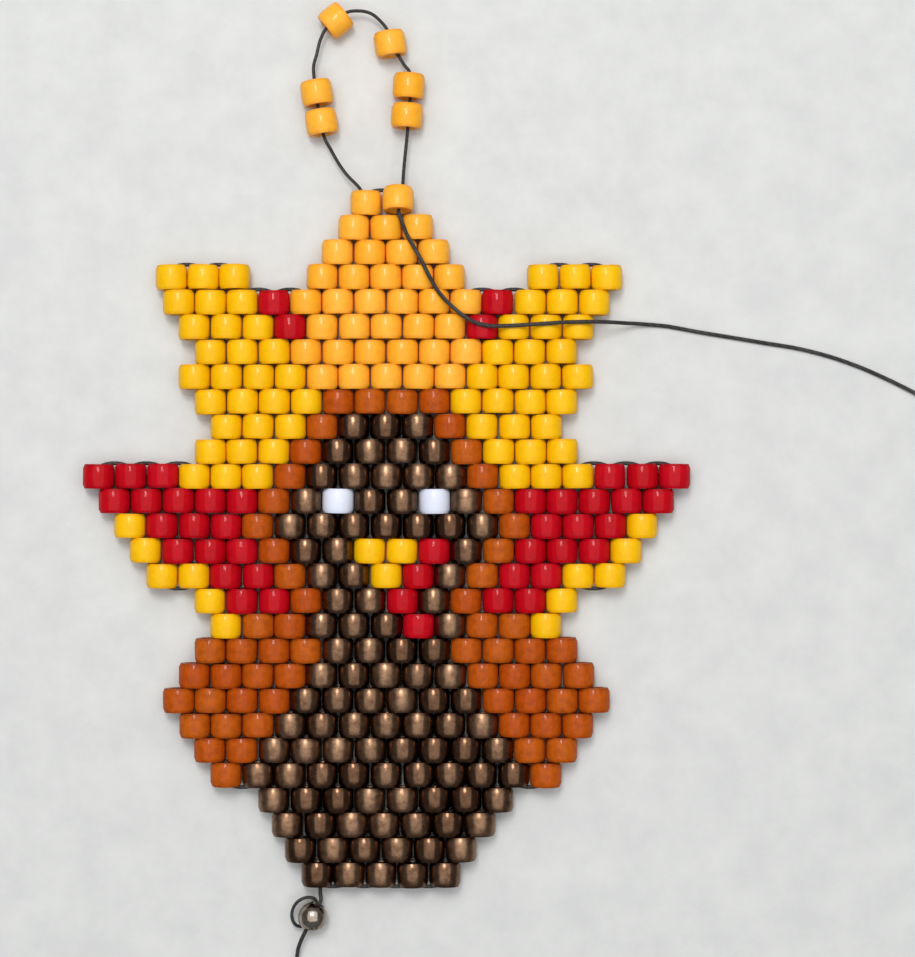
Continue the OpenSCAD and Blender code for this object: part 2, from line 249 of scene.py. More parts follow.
class BeadSettings(bpy.types.PropertyGroup):
    """Shape of the cylinder beads and how unevenly they sit"""

    diameter: length_setting("Bead Diameter", "Outer diameter of a cylinder bead",
                             BEAD_DIAMETER, 0.5 * MM)
    length: length_setting("Bead Length", "Length of a cylinder bead along its hole",
                           BEAD_LENGTH, 0.5 * MM)
    hole: length_setting("Hole Diameter", "Diameter of the hole through a cylinder bead",
                         0.8 * MM, 0.2 * MM)
    rim: length_setting("Rim", "Rounding of a bead's rims", 0.1 * MM)
    wobble: angle_setting("Wobble", "Largest tilt of a bead out of its row", 1.5)
    drift: length_setting("Drift", "Largest shift of a bead out of its place",
                          0.014 * MM, precision=6)
    sway: length_setting("Sway", "How far whole stretches of a row wander together",
                         0.16 * MM, precision=6)
    seed: bpy.props.IntProperty(name="Seed", description="Changes how the beads vary", default=7, min=0)


class GlazeSettings(bpy.types.PropertyGroup):
    """Colours of the beads"""

    mango: colour_setting("Mango", "Opaque light orange of the crest and the loop",
                          (0.92, 0.40, 0.018, 1))
    yellow: colour_setting("Yellow", "Opaque yellow of the feathers and the beak",
                           (0.88, 0.475, 0.0008, 1))
    red: colour_setting("Red", "Opaque red of the outer feathers and the wattle",
                        (0.47, 0.0015, 0.007, 1))
    rust: colour_setting("Rust", "Opaque rust orange of the wings and the head's border",
                         (0.44, 0.068, 0.003, 1))
    bronze: colour_setting("Bronze", "Metallic dark bronze of the head and the body",
                           (0.112, 0.058, 0.031, 1))
    white: colour_setting("White", "Opaque white of the eyes", (0.72, 0.75, 0.86, 1))


class ThreadSettings(bpy.types.PropertyGroup):
    """Size and colour of the thread"""

    diameter: length_setting("Thread Diameter", "Diameter of the beading thread",
                             0.214 * MM, 0.05 * MM, precision=6)
    colour: colour_setting("Thread Colour", "Colour of the beading thread", (0.026, 0.024, 0.024, 1))


class StageSettings(bpy.types.PropertyGroup):
    """Camera and lights"""

    lens: bpy.props.FloatProperty(
        name="Lens", description="Focal length of the camera in millimetres", default=85.0, min=20.0
    )
    frame_height: length_setting("Frame Height", "Height of the picture at the beads",
                                 50.9 * MM, 10 * MM, precision=4)
    softbox: power_setting("Softbox Power", "Power of the large light overhead", 0.47)
    window: power_setting("Window Power", "Power of the light from beyond the crest", 0.185)


# ---------------------------------------------------------------- small helpers

def settings(name):
    """One of the scene's groups of settings."""
    return getattr(bpy.context.scene, name)


def link(obj):
    """Puts an object in the scene."""
    bpy.context.scene.collection.objects.link(obj)
    return obj


def plain_mesh(name, obj):
    """The evaluated shape of obj as a plain mesh object, and obj itself removed."""
    depsgraph = bpy.context.evaluated_depsgraph_get()
    mesh = bpy.data.meshes.new_from_object(obj.evaluated_get(depsgraph))
    mesh.name = name
    bpy.data.objects.remove(obj)
    return link(bpy.data.objects.new(name, mesh))


def smooth_route(route, spacing):
    """Points about a spacing apart on a smooth curve through a route."""
    knots = [Vector(p) for p in route]
    padded = [2 * knots[0] - knots[1], *knots, 2 * knots[-1] - knots[-2]]
    points = []
    for four in zip(padded, padded[1:], padded[2:], padded[3:]):
        times = [0.0]
        for p, q in zip(four, four[1:]):
            times.append(times[-1] + math.sqrt((q - p).length))
        steps = max(2, math.ceil((four[2] - four[1]).length / spacing))
        for step in range(steps):
            t = times[1] + (times[2] - times[1]) * step / steps
            level = list(four)
            for depth in (1, 2, 3):
                level = [
                    p.lerp(q, (t - low) / (high - low))
                    for p, q, low, high in zip(level, level[1:], *lerp_times(times, depth))
                ]
            points.append(level[0])
    return [*points, knots[-1]]


def lerp_times(times, depth):
    """Start and end times of each blend of a curve through four points, at a depth."""
    if depth == 1:
        return times[:3], times[1:]
    if depth == 2:
        return times[:2], times[2:]
    return times[1:2], times[2:3]


def route_length(points):
    """Length of a run of points."""
    return sum((b - a).length for a, b in zip(points, points[1:]))


def finish_piece(piece, body, slot, *nodes):
    """Ties a finished piece to its body and hides the CAD nodes that it stands for; its finish (slot) is not
    used.
    """
    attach(piece, body)
    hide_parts(*nodes)
    return piece


# ---------------------------------------------------------------- node tree helpers

def add_node(tree, kind, values=None, **settings_of_node):
    """A new node with its settings, and with values for some of its inputs by name or number."""
    node = tree.nodes.new(kind)
    for key, value in settings_of_node.items():
        setattr(node, key, value)
    for key, value in (values or {}).items():
        node.inputs[key].default_value = value
    return node


def wire(tree, *pairs):
    """Links (from socket, to socket) pairs."""
    for source, target in pairs:
        tree.links.new(source, target)


def math_node(tree, operation, a, b=None, c=None, clamp=False):
    """A Math node on sockets or numbers, and its result."""
    node = tree.nodes.new("ShaderNodeMath")
    node.operation = operation
    node.use_clamp = clamp
    for socket, value in zip(node.inputs, (a, b, c)):
        if value is None:
            continue
        if isinstance(value, (int, float)):
            socket.default_value = value
        else:
            tree.links.new(value, socket)
    return node.outputs[0]


def vector_math(tree, operation, a, b):
    """A Vector Math node on sockets, vectors or, for a scale, a number, and its result."""
    node = tree.nodes.new("ShaderNodeVectorMath")
    node.operation = operation
    for socket, value in ((node.inputs[0], a), (node.inputs[3 if operation == "SCALE" else 1], b)):
        if isinstance(value, (int, float, tuple)):
            socket.default_value = value
        else:
            tree.links.new(value, socket)
    return node.outputs["Vector"]


def mix_colour(tree, factor, a, b):
    """A colour Mix node on sockets or colours, and its result."""
    node = tree.nodes.new("ShaderNodeMix")
    node.data_type = "RGBA"
    for socket, value in ((node.inputs[0], factor), (node.inputs[6], a), (node.inputs[7], b)):
        if isinstance(value, (int, float, tuple)):
            socket.default_value = value
        else:
            tree.links.new(value, socket)
    return node.outputs[2]


def random_vector(tree, low, high, seed):
    """A random vector between two vectors, one for each point."""
    node = add_node(tree, "FunctionNodeRandomValue", {0: low, 1: high}, data_type="FLOAT_VECTOR")
    tree.links.new(seed, node.inputs["Seed"])
    return node.outputs["Value"]


def remap(tree, value, low, high, to_low=0.0, to_high=1.0):
    """A Map Range node that clamps, and its result."""
    node = tree.nodes.new("ShaderNodeMapRange")
    node.inputs["From Min"].default_value = low
    node.inputs["From Max"].default_value = high
    node.inputs["To Min"].default_value = to_low
    node.inputs["To Max"].default_value = to_high
    tree.links.new(value, node.inputs["Value"])
    return node.outputs["Result"]


def group_tree(name, kind, inputs, outputs):
    """A node group with named sockets. inputs: (name, type, default). outputs: (name, type)."""
    tree = bpy.data.node_groups.new(name, kind)
    for label, socket_type, default in inputs:
        socket = tree.interface.new_socket(label, in_out="INPUT", socket_type=socket_type)
        if default is not None:
            socket.default_value = default
    for label, socket_type in outputs:
        tree.interface.new_socket(label, in_out="OUTPUT", socket_type=socket_type)
    return tree, tree.nodes.new("NodeGroupInput"), tree.nodes.new("NodeGroupOutput")


def set_inputs(modifier, values):
    """Sets a Geometry Nodes modifier's inputs through the identifiers of its named sockets."""
    for item in modifier.node_group.interface.items_tree:
        if item.item_type == "SOCKET" and item.in_out == "INPUT" and item.name in values:
            modifier[item.identifier] = values[item.name]


# ---------------------------------------------------------------- materials

PLACE = "bead_place"  # where a point is on its own bead, in metres, with the hole along Y
SHADE = "bead_shade"  # a value from 0 to 1 for each bead
BUMP_DEPTH = 0.00002


def new_material(name, **shader_values):
    """A new material, its tree and its shader, with values for some of the shader's inputs."""
    material = bpy.data.materials.new(name)
    material.use_nodes = True
    shader = material.node_tree.nodes["Principled BSDF"]
    for label, value in shader_values.items():
        shader.inputs[label.replace("_", " ")].default_value = value
    return material, material.node_tree, shader


def glaze_group():
    """Colour, roughness and height of a glazed bead, which vary over it and from bead to bead, with painted
    shade at both ends.
    """
    if "Bead Glaze" in bpy.data.node_groups:
        return bpy.data.node_groups["Bead Glaze"]
    tree, given, result = group_tree(
        "Bead Glaze",
        "ShaderNodeTree",
        [
            ("Base", "NodeSocketColor", (0.8, 0.5, 0.1, 1)),
            ("Pale", "NodeSocketColor", (1, 0.8, 0.4, 1)),
            ("Deep", "NodeSocketColor", (0.3, 0.1, 0.0, 1)),
            ("Bead Variation", "NodeSocketFloat", 0.35),
            ("Mottle", "NodeSocketFloat", 0.25),
            # Rim: how strongly painted shade darkens both ends of a bead
            ("Rim", "NodeSocketFloat", 0.5),
            ("Roughness", "NodeSocketFloat", 0.25),
            ("Roughness Spread", "NodeSocketFloat", 0.1),
        ],
        [
            ("Color", "NodeSocketColor"),
            ("Roughness", "NodeSocketFloat"),
            ("Height", "NodeSocketFloat"),
        ],
    )
    shade = add_node(tree, "ShaderNodeAttribute", attribute_name=SHADE).outputs["Fac"]
    place = add_node(tree, "ShaderNodeAttribute", attribute_name=PLACE).outputs["Vector"]
    where = add_node(tree, "ShaderNodeTexCoord").outputs["Object"]

    mottle = add_node(tree, "ShaderNodeTexNoise", {"Scale": 2600.0, "Detail": 3.0, "Roughness": 0.6})
    grain = add_node(tree, "ShaderNodeTexNoise", {"Scale": 9000.0, "Detail": 2.0, "Roughness": 0.55})
    wire(tree, (where, mottle.inputs["Vector"]), (where, grain.inputs["Vector"]))

    # Painted shade at the bead ends: the rim is 1 at both ends of a bead and falls to 0 a little way in
    split = add_node(tree, "ShaderNodeSeparateXYZ")
    wire(tree, (place, split.inputs[0]))
    along = math_node(tree, "ABSOLUTE", split.outputs["Y"])
    half = BEAD_LENGTH / 2
    end_band = remap(tree, along, 0.72 * half, half)
    patchy_end_shade = math_node(tree, "MULTIPLY", end_band, remap(tree, mottle.outputs["Fac"], 0.3, 0.7, 0.5, 1.0))

    lighter = math_node(tree, "MULTIPLY", shade, given.outputs["Bead Variation"])
    toned = mix_colour(tree, lighter, given.outputs["Base"], given.outputs["Pale"])
    spots = math_node(
        tree,
        "MULTIPLY",
        remap(tree, mottle.outputs["Fac"], 0.42, 0.66),
        given.outputs["Mottle"],
    )
    mottled = mix_colour(tree, spots, toned, given.outputs["Deep"])
    # Painted shade: both ends of each bead are darkened in patches towards the deep colour
    end_shade_share = math_node(tree, "MULTIPLY", patchy_end_shade, given.outputs["Rim"])
    coloured = mix_colour(tree, end_shade_share, mottled, given.outputs["Deep"])

    spread = math_node(tree, "SUBTRACT", grain.outputs["Fac"], 0.5)
    by_bead = math_node(tree, "SUBTRACT", shade, 0.5)
    both = math_node(tree, "ADD", spread, math_node(tree, "MULTIPLY", by_bead, 0.8))
    rough = math_node(
        tree,
        "MULTIPLY_ADD",
        both,
        given.outputs["Roughness Spread"],
        given.outputs["Roughness"],
        clamp=True,
    )
    height = math_node(tree, "MULTIPLY_ADD", grain.outputs["Fac"], 0.25, mottle.outputs["Fac"])
    wire(
        tree,
        (coloured, result.inputs["Color"]),
        (rough, result.inputs["Roughness"]),
        (height, result.inputs["Height"]),
    )
    return tree


def glaze(name, base, *, pale, deep, variation, mottle, rim, rough, spread, coat, coat_rough,
          metal=0.0, bump=0.05, ior=1.3):
    """A glazed bead material."""
    if name in bpy.data.materials:
        return bpy.data.materials[name]
    material, tree, shader = new_material(
        name, Metallic=metal, Coat_Weight=coat, Coat_Roughness=coat_rough, IOR=ior
    )
    looks = {
        "Base": base,
        "Pale": pale,
        "Deep": deep,
        "Bead Variation": variation,
        "Mottle": mottle,
        "Rim": rim,
        "Roughness": rough,
        "Roughness Spread": spread,
    }
    group = add_node(tree, "ShaderNodeGroup", looks, node_tree=glaze_group())
    uneven = add_node(tree, "ShaderNodeBump", {"Strength": bump, "Distance": BUMP_DEPTH})
    wire(
        tree,
        (group.outputs["Color"], shader.inputs["Base Color"]),
        (group.outputs["Roughness"], shader.inputs["Roughness"]),
        (group.outputs["Height"], uneven.inputs["Height"]),
        (uneven.outputs["Normal"], shader.inputs["Normal"]),
    )
    return material


# Each bead slot's pale and deep colours, how much it varies and shines, and how much painted shade darkens
# its ends (rim).
FINISHES = {
    "mango": dict(
        pale=(1.0, 0.50, 0.055, 1), deep=(0.66, 0.17, 0.006, 1), variation=0.5, mottle=0.16,
        rim=0.5, rough=0.36, spread=0.12, coat=0.25, coat_rough=0.1, ior=1.22,
    ),
    "yellow": dict(
        pale=(0.97, 0.56, 0.002, 1), deep=(0.62, 0.19, 0.0, 1), variation=0.4, mottle=0.14,
        rim=0.5, rough=0.36, spread=0.12, coat=0.2, coat_rough=0.1, ior=1.2,
    ),
    "red": dict(
        pale=(0.55, 0.004, 0.014, 1), deep=(0.16, 0.0, 0.002, 1), variation=0.7, mottle=0.2,
        rim=0.5, rough=0.4, spread=0.1, coat=0.22, coat_rough=0.06, ior=1.08,
    ),
    "rust": dict(
        pale=(0.5, 0.11, 0.006, 1), deep=(0.12, 0.013, 0.002, 1), variation=0.7, mottle=0.3,
        rim=0.6, rough=0.4, spread=0.1, coat=0.22, coat_rough=0.07, ior=1.08,
    ),
    "white": dict(
        pale=(0.8, 0.83, 0.92, 1), deep=(0.5, 0.5, 0.6, 1), variation=0.3, mottle=0.1,
        rim=0.3, rough=0.35, spread=0.1, coat=0.2, coat_rough=0.2,
    ),
    "bronze": dict(
        pale=(0.27, 0.158, 0.092, 1), deep=(0.04, 0.01, 0.004, 1), variation=1.0, mottle=0.5,
        rim=0.5, rough=0.27, spread=0.2, metal=1.0, coat=0.1, coat_rough=0.12, bump=0.15,
    ),
}


def bead_material(slot):
    """The material of one of the record's bead slots."""
    kind = slot.removesuffix("_bead")
    base = tuple(getattr(settings("charm_glazes"), kind))
    return glaze(f"{kind.title()} Glaze", base, **FINISHES[kind])


def fibre_group():
    """Colour, roughness and height of thread, with fine fibres and patches of wax."""
    if "Thread Fibres" in bpy.data.node_groups:
        return bpy.data.node_groups["Thread Fibres"]
    tree, given, result = group_tree(
        "Thread Fibres",
        "ShaderNodeTree",
        [
            ("Base", "NodeSocketColor", (0.05, 0.05, 0.05, 1)),
            ("Worn", "NodeSocketColor", (0.2, 0.2, 0.2, 1)),
            ("Fibre Scale", "NodeSocketFloat", 9000.0),
            ("Wax", "NodeSocketFloat", 0.5),
        ],
        [
            ("Color", "NodeSocketColor"),
            ("Roughness", "NodeSocketFloat"),
            ("Height", "NodeSocketFloat"),
        ],
    )
    where = add_node(tree, "ShaderNodeTexCoord").outputs["Object"]
    fibres = add_node(tree, "ShaderNodeTexNoise", {"Detail": 4.0, "Roughness": 0.7})
    twist = add_node(
        tree, "ShaderNodeTexWave", {"Distortion": 3.0, "Detail": 2.0}, bands_direction="DIAGONAL"
    )
    patches = add_node(tree, "ShaderNodeTexNoise", {"Scale": 700.0, "Detail": 2.0})
    wire(
        tree,
        (where, fibres.inputs["Vector"]),
        (where, twist.inputs["Vector"]),
        (where, patches.inputs["Vector"]),
        (given.outputs["Fibre Scale"], fibres.inputs["Scale"]),
        (math_node(tree, "MULTIPLY", given.outputs["Fibre Scale"], 0.2), twist.inputs["Scale"]),
    )
    strand = math_node(tree, "MULTIPLY", fibres.outputs["Fac"], twist.outputs["Fac"])
    share = math_node(tree, "ADD", remap(tree, strand, 0.1, 0.6, 0.0, 0.5),
                      remap(tree, patches.outputs["Fac"], 0.45, 0.7, 0.0, 0.4))
    colour = mix_colour(tree, share, given.outputs["Base"], given.outputs["Worn"])
    waxed = math_node(tree, "MULTIPLY", patches.outputs["Fac"], given.outputs["Wax"])
    wire(
        tree,
        (colour, result.inputs["Color"]),
        (math_node(tree, "SUBTRACT", 0.75, waxed, clamp=True), result.inputs["Roughness"]),
        (strand, result.inputs["Height"]),
    )
    return tree


def fibre_material(name, base, worn, *, scale, wax, bump):
    """Thread or yarn."""
    if name in bpy.data.materials:
        return bpy.data.materials[name]
    material, tree, shader = new_material(name, Sheen_Weight=0.05, IOR=1.25)
    looks = {"Base": base, "Worn": worn, "Fibre Scale": scale, "Wax": wax}
    group = add_node(tree, "ShaderNodeGroup", looks, node_tree=fibre_group())
    twisted = add_node(tree, "ShaderNodeBump", {"Strength": bump, "Distance": BUMP_DEPTH})
    wire(
        tree,
        (group.outputs["Color"], shader.inputs["Base Color"]),
        (group.outputs["Roughness"], shader.inputs["Roughness"]),
        (group.outputs["Height"], twisted.inputs["Height"]),
        (twisted.outputs["Normal"], shader.inputs["Normal"]),
    )
    return material


def thread_material():
    """Waxed dark grey beading thread."""
    return fibre_material("Waxed Thread", tuple(settings("charm_thread").colour),
                          (0.07, 0.067, 0.063, 1), scale=9000.0, wax=0.6, bump=0.5)


def tie_material():
    """Pale cotton that ties a coil."""
    return fibre_material("Cotton Tie", (0.62, 0.58, 0.5, 1), (0.8, 0.77, 0.7, 1),
                          scale=6000.0, wax=0.1, bump=0.6)


def stopper_material():
    """Dark polished metal coat of the stopper bead."""
    if "Stopper Metal" in bpy.data.materials:
        return bpy.data.materials["Stopper Metal"]
    material, tree, shader = new_material("Stopper Metal", Metallic=1.0)
    where = add_node(tree, "ShaderNodeTexCoord").outputs["Object"]
    tarnish = add_node(tree, "ShaderNodeTexNoise", {"Scale": 1800.0, "Detail": 4.0, "Roughness": 0.6})
    scuffs = add_node(tree, "ShaderNodeTexNoise", {"Scale": 12000.0, "Detail": 2.0})
    relief = add_node(tree, "ShaderNodeBump", {"Strength": 0.08, "Distance": BUMP_DEPTH})
    wire(
        tree,
        (where, tarnish.inputs["Vector"]),
        (where, scuffs.inputs["Vector"]),
        (
            mix_colour(tree, remap(tree, tarnish.outputs["Fac"], 0.35, 0.7),
                       (0.42, 0.38, 0.33, 1), (0.22, 0.17, 0.12, 1)),
            shader.inputs["Base Color"],
        ),
        (remap(tree, scuffs.outputs["Fac"], 0.3, 0.7, 0.1, 0.26), shader.inputs["Roughness"]),
        (scuffs.outputs["Fac"], relief.inputs["Height"]),
        (relief.outputs["Normal"], shader.inputs["Normal"]),
    )
    return material


def bench_material():
    """Plain pale surface under the charm."""
    material, tree, shader = new_material("Pale Bench", Roughness=0.8)
    where = add_node(tree, "ShaderNodeTexCoord").outputs["Object"]
    speckle = add_node(tree, "ShaderNodeTexNoise", {"Scale": 420.0, "Detail": 5.0, "Roughness": 0.65})
    wire(
        tree,
        (where, speckle.inputs["Vector"]),
        (
            mix_colour(tree, remap(tree, speckle.outputs["Fac"], 0.35, 0.65),
                       (0.66, 0.665, 0.645, 1), (0.60, 0.605, 0.59, 1)),
            shader.inputs["Base Color"],
        ),
    )
    return material


# ---------------------------------------------------------------- beads

def bead_tree():
    """Geometry Nodes: a cylinder bead on each point, turned by the point's own turn."""
    if "Cylinder Beads" in bpy.data.node_groups:
        return bpy.data.node_groups["Cylinder Beads"]
    tree, given, result = group_tree(
        "Cylinder Beads",
        "GeometryNodeTree",
        [
            ("Places", "NodeSocketGeometry", None),
            ("Diameter", "NodeSocketFloat", 0.0016),
            ("Length", "NodeSocketFloat", 0.0012),
            ("Hole", "NodeSocketFloat", 0.0008),
            ("Rim", "NodeSocketFloat", 0.0001),
            ("Wobble", "NodeSocketFloat", 0.04),
            ("Drift", "NodeSocketFloat", 0.00002),
            ("Sway", "NodeSocketFloat", 0.0),
            ("Seed", "NodeSocketInt", 7),
            ("Finish", "NodeSocketMaterial", None),
        ],
        [("Beads", "NodeSocketGeometry")],
    )
    put = given.outputs

    # One bead: its wall's outline swept round a circle
    wall = math_node(tree, "MULTIPLY", math_node(tree, "SUBTRACT", put["Diameter"], put["Hole"]), 0.5)
    mid_r = math_node(tree, "MULTIPLY", math_node(tree, "ADD", put["Diameter"], put["Hole"]), 0.25)
    circle = add_node(tree, "GeometryNodeCurvePrimitiveCircle", {"Resolution": 16})
    outline = add_node(tree, "GeometryNodeCurvePrimitiveQuadrilateral")
    rounded = add_node(tree, "GeometryNodeFilletCurve", mode="POLY")
    swept = add_node(tree, "GeometryNodeCurveToMesh")
    # The outline's rims are drawn out into shallow shoulders
    shoulder = add_node(tree, "GeometryNodeSwitch", {"False": (1.12, 1, 1), "True": (1, 0.8, 1)},
                        input_type="VECTOR")
    shaped = add_node(tree, "GeometryNodeSetPosition")
    turned = add_node(tree, "GeometryNodeTransform", {"Rotation": (math.pi / 2, 0, 0)})
    wire(
        tree,
        (mid_r, circle.inputs["Radius"]),
        (wall, outline.inputs["Width"]),
        (put["Length"], outline.inputs["Height"]),
        (outline.outputs["Curve"], rounded.inputs["Curve"]),
        (put["Rim"], rounded.inputs["Radius"]),
        (rounded.outputs["Curve"], shaped.inputs["Geometry"]),
        (circle.outputs["Curve"], swept.inputs["Curve"]),
        (shaped.outputs["Geometry"], swept.inputs["Profile Curve"]),
        (swept.outputs["Mesh"], turned.inputs["Geometry"]),
    )
    position = add_node(tree, "GeometryNodeInputPosition").outputs[0]
    split = add_node(tree, "ShaderNodeSeparateXYZ")
    reach = math_node(tree, "ABSOLUTE", split.outputs["Y"])
    inner = math_node(tree, "MULTIPLY_ADD", put["Length"], 0.5, -0.00001)
    wire(
        tree,
        (position, split.inputs[0]),
        (math_node(tree, "LESS_THAN", reach, inner), shoulder.inputs["Switch"]),
        (vector_math(tree, "MULTIPLY", position, shoulder.outputs[0]), shaped.inputs["Position"]),
    )
    smooth = add_node(tree, "GeometryNodeSetShadeSmooth", {"Shade Smooth": True})
    sharp = add_node(tree, "GeometryNodeSetShadeSmooth", {"Shade Smooth": False}, domain="EDGE")
    edge_angle = add_node(tree, "GeometryNodeInputMeshEdgeAngle")
    kept = add_node(tree, "GeometryNodeStoreNamedAttribute", {"Name": PLACE},
                    data_type="FLOAT_VECTOR", domain="POINT")
    wire(
        tree,
        (turned.outputs["Geometry"], smooth.inputs["Geometry"]),
        (smooth.outputs["Geometry"], sharp.inputs["Geometry"]),
        (math_node(tree, "GREATER_THAN", edge_angle.outputs["Unsigned Angle"], math.radians(50)),
         sharp.inputs["Selection"]),
        (sharp.outputs["Geometry"], kept.inputs["Geometry"]),
        (position, kept.inputs["Value"]),
    )

    # The points sway together along their rows, then each drifts a little by itself
    noise = add_node(tree, "ShaderNodeTexNoise", {"Scale": 210.0, "Detail": 1.0})
    centred = vector_math(tree, "SUBTRACT", noise.outputs["Color"], (0.5, 0.5, 0.5))
    flat = vector_math(tree, "MULTIPLY", centred, (1.0, 0.75, 0.0))
    own = random_vector(tree, (-1, -1, 0), (1, 1, 0.6), put["Seed"])
    moved = add_node(tree, "GeometryNodeSetPosition")
    swayed = vector_math(tree, "SCALE", flat, put["Sway"])
    drifted = vector_math(tree, "SCALE", own, put["Drift"])
    wire(
        tree,
        (position, noise.inputs["Vector"]),
        (put["Places"], moved.inputs["Geometry"]),
        (vector_math(tree, "ADD", swayed, drifted), moved.inputs["Offset"]),
    )

    turn = add_node(tree, "GeometryNodeInputNamedAttribute", {"Name": "turn"}, data_type="FLOAT_VECTOR")
    next_seed = math_node(tree, "ADD", put["Seed"], 11.0)
    last_seed = math_node(tree, "ADD", put["Seed"], 23.0)
    tilt = random_vector(tree, (-1, -3, -1), (1, 3, 1), next_seed)
    tilted = vector_math(tree, "SCALE", tilt, put["Wobble"])
    size = random_vector(tree, (1.035, 1.026, 0.985), (1.06, 1.056, 1.0), last_seed)
    strung = add_node(tree, "GeometryNodeInstanceOnPoints")
    shade = add_node(tree, "FunctionNodeRandomValue", data_type="FLOAT")
    shaded = add_node(tree, "GeometryNodeStoreNamedAttribute", {"Name": SHADE},
                      data_type="FLOAT", domain="INSTANCE")
    real = add_node(tree, "GeometryNodeRealizeInstances")
    glazed = add_node(tree, "GeometryNodeSetMaterial")
    wire(
        tree,
        (last_seed, shade.inputs["Seed"]),
        (moved.outputs["Geometry"], strung.inputs["Points"]),
        (kept.outputs["Geometry"], strung.inputs["Instance"]),
        (vector_math(tree, "ADD", turn.outputs["Attribute"], tilted), strung.inputs["Rotation"]),
        (size, strung.inputs["Scale"]),
        (strung.outputs["Instances"], shaded.inputs["Geometry"]),
        (shade.outputs[1], shaded.inputs["Value"]),
        (shaded.outputs["Geometry"], real.inputs["Geometry"]),
        (real.outputs["Geometry"], glazed.inputs["Geometry"]),
        (put["Finish"], glazed.inputs["Material"]),
        (glazed.outputs["Geometry"], result.inputs["Beads"]),
    )
    return tree


def joined_mesh(node):
    """A copy of a CAD node's mesh with its loose triangles joined at their corners."""
    mesh = bmesh.new()
    mesh.from_mesh(frame["nodes"][node].data)
    bmesh.ops.remove_doubles(mesh, verts=mesh.verts, dist=1e-7)
    return mesh


def bead_places(node):
    """Middle of each separate solid of a CAD node, in the order of its rows."""
    mesh = joined_mesh(node)
    places = []
    unseen = set(mesh.verts)
    while unseen:
        ends = [unseen.pop()]
        solid = list(ends)
        while ends:
            vert = ends.pop()
            for edge in vert.link_edges:
                other = edge.other_vert(vert)
                if other in unseen:
                    unseen.remove(other)
                    ends.append(other)
                    solid.append(other)
        low = Vector([min(v.co[k] for v in solid) for k in range(3)])
        high = Vector([max(v.co[k] for v in solid) for k in range(3)])
        places.append((low + high) / 2)
    mesh.free()
    return sorted(places, key=lambda p: (-round(p.y, 4), p.x))


def string_beads(node, body, turn=(0.0, 0.0, 0.0), steady=False):
    """The finished beads of one CAD node. A steady bead keeps its exact place."""
    beads = settings("charm_beads")
    slot = slot_of(node)
    places = bead_places(node)
    mesh = bpy.data.meshes.new(node)
    mesh.from_pydata([tuple(p) for p in places], [], [])
    turns = mesh.attributes.new("turn", "FLOAT_VECTOR", "POINT")
    turns.data.foreach_set("vector", [v for _ in places for v in turn])
    maker = link(bpy.data.objects.new(node, mesh))
    modifier = maker.modifiers.new("Beads", "NODES")
    modifier.node_group = bead_tree()
    set_inputs(modifier, {
        "Diameter": beads.diameter,
        "Length": beads.length,
        "Hole": beads.hole,
        "Rim": beads.rim,
        "Wobble": 0.0 if steady else beads.wobble,
        "Drift": 0.0 if steady else beads.drift,
        "Sway": 0.0 if steady else beads.sway,
        "Seed": beads.seed + sum(map(ord, node)),
        "Finish": bead_material(slot),
    })
    piece = plain_mesh(f"{node}_beads", maker)
    return finish_piece(piece, body, slot, node)


def slot_of(node):
    """The record's material slot of a CAD node."""
    return next(s["material_slot"] for s in frame["record"]["subparts"] if s["node"] == node)


def nodes_of(body):
    """Names of the CAD nodes of a body."""
    return frame["record"]["behaviour"]["bodies"][body]


def panel_nodes(*words):
    """Bead nodes of the panel whose names hold one of some words, or all of them where none is given."""
    return [
        node for node in nodes_of("panel")
        if slot_of(node).endswith("_bead") and any(word in node for word in words or ("",))
    ]


# ---------------------------------------------------------------- threads

def tube(name, points, radius, finish, sides=10):
    """A round curve along points, closed at both ends."""
    curve = bpy.data.curves.new(name, "CURVE")
    curve.dimensions = "3D"
    curve.twist_mode = "MINIMUM"
    spline = curve.splines.new("POLY")
    spline.points.add(len(points) - 1)
    spline.points.foreach_set("co", [v for p in points for v in (*p, 1.0)])
    curve.bevel_depth = radius
    curve.bevel_resolution = max(0, sides // 2 - 2)
    curve.use_fill_caps = True
    curve.materials.append(finish)
    return link(bpy.data.objects.new(name, curve))


def wound_places(thickness, spacing):
    """Places of a coil's turns across its thickness, from its skin inwards, as (outwards, up) pairs."""
    reach = thickness / 2 - spacing / 2
    rise = spacing * math.sqrt(3) / 2
    rows = int(reach / rise)
    places = []
    for row in range(rows, -rows - 1, -1):
        up = row * rise
        half = math.sqrt(max(0.0, reach ** 2 - up ** 2))
        start = spacing / 2 if row % 2 else 0.0
        count = int((half + start) / spacing)
        line = [k * spacing - start for k in range(-count, count + 1 + (1 if row % 2 else 0))]
        places += [(v, up) for v in line if abs(v) <= half]
    return sorted(places, key=lambda p: (-round(math.hypot(*p), 5), math.atan2(p[1], p[0])))


def coil_turns(middle, mean_r, places, entry, way, length):
    """Points of a coil wound through places, from an entry point, until it has a length.

    The coil has four soft corners, and its bands sit between them.
    """
    start = math.atan2(entry.y - middle.y, entry.x - middle.x)
    points = []
    made = 0.0
    last = entry
    for turn, (here, after) in enumerate(zip(places, [*places[1:], places[-1]])):
        for step in range(COIL_STEPS):
            if turn == 0 and step == 0:
                continue
            share = step / COIL_STEPS
            ease = max(0.0, (share - CROSSING) / (1 - CROSSING))
            ease = ease * ease * (3 - 2 * ease)
            out = here[0] + (after[0] - here[0]) * ease
            up = here[1] + (after[1] - here[1]) * ease
            angle = start + way * 2 * math.pi * (turn + share)
            radius = mean_r * (1 + COIL_BULGE * math.cos(4 * (angle - COIL_CORNER))) + out
            point = middle + Vector((radius * math.cos(angle), radius * math.sin(angle), up))
            made += (point - last).length
            last = point
            points.append(point)
            if made >= length:
                return points
    return points


